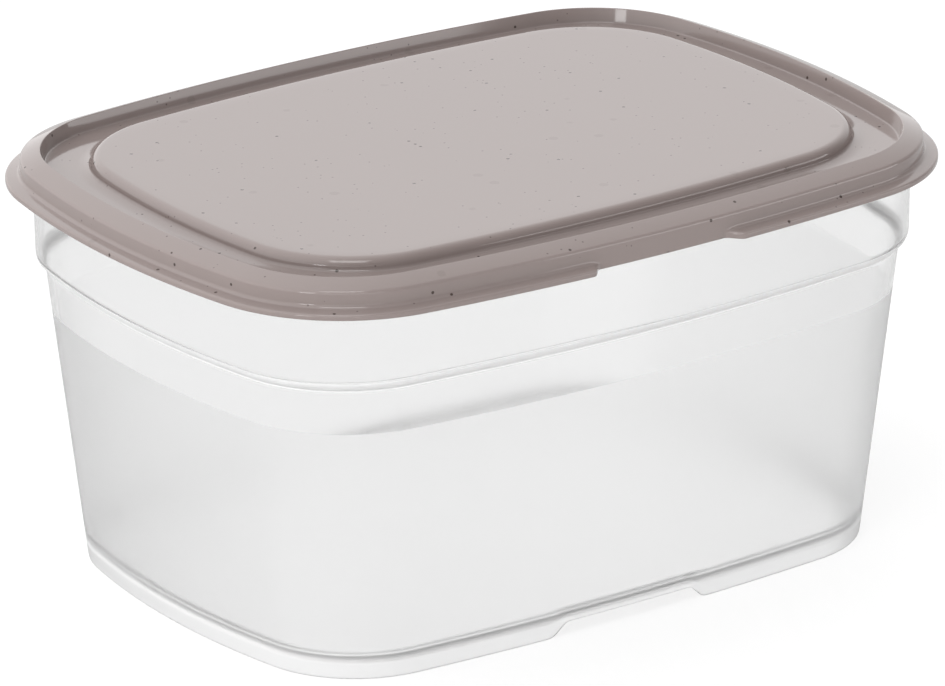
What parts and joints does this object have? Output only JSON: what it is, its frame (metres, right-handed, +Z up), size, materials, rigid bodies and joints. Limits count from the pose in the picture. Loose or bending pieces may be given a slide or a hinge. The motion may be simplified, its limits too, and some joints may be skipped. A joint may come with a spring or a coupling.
{
  "type": "food storage container",
  "caption": "Rectangular food storage container: a tapered see-through tub with rounded corners and a stepped upper band, closed by a push-on lid with a raised ridge and panel.",
  "frame": {"origin": "centre of the footprint, on the surface that the container stands on", "axes": "+X along the length, +Y across the width towards the back long side, +Z up out of the tub"},
  "size_m": [0.25, 0.1884, 0.1229],
  "materials": {
    "tub_plastic": "colourless translucent polypropylene, frosted up to a line near the top, polished and clear above it",
    "lid_plastic": "glossy taupe plastic with sparse dark brown specks"
  },
  "bodies": {
    "root": {"tub": "tub_plastic", "lid": "lid_plastic"}
  },
  "joints": []
}
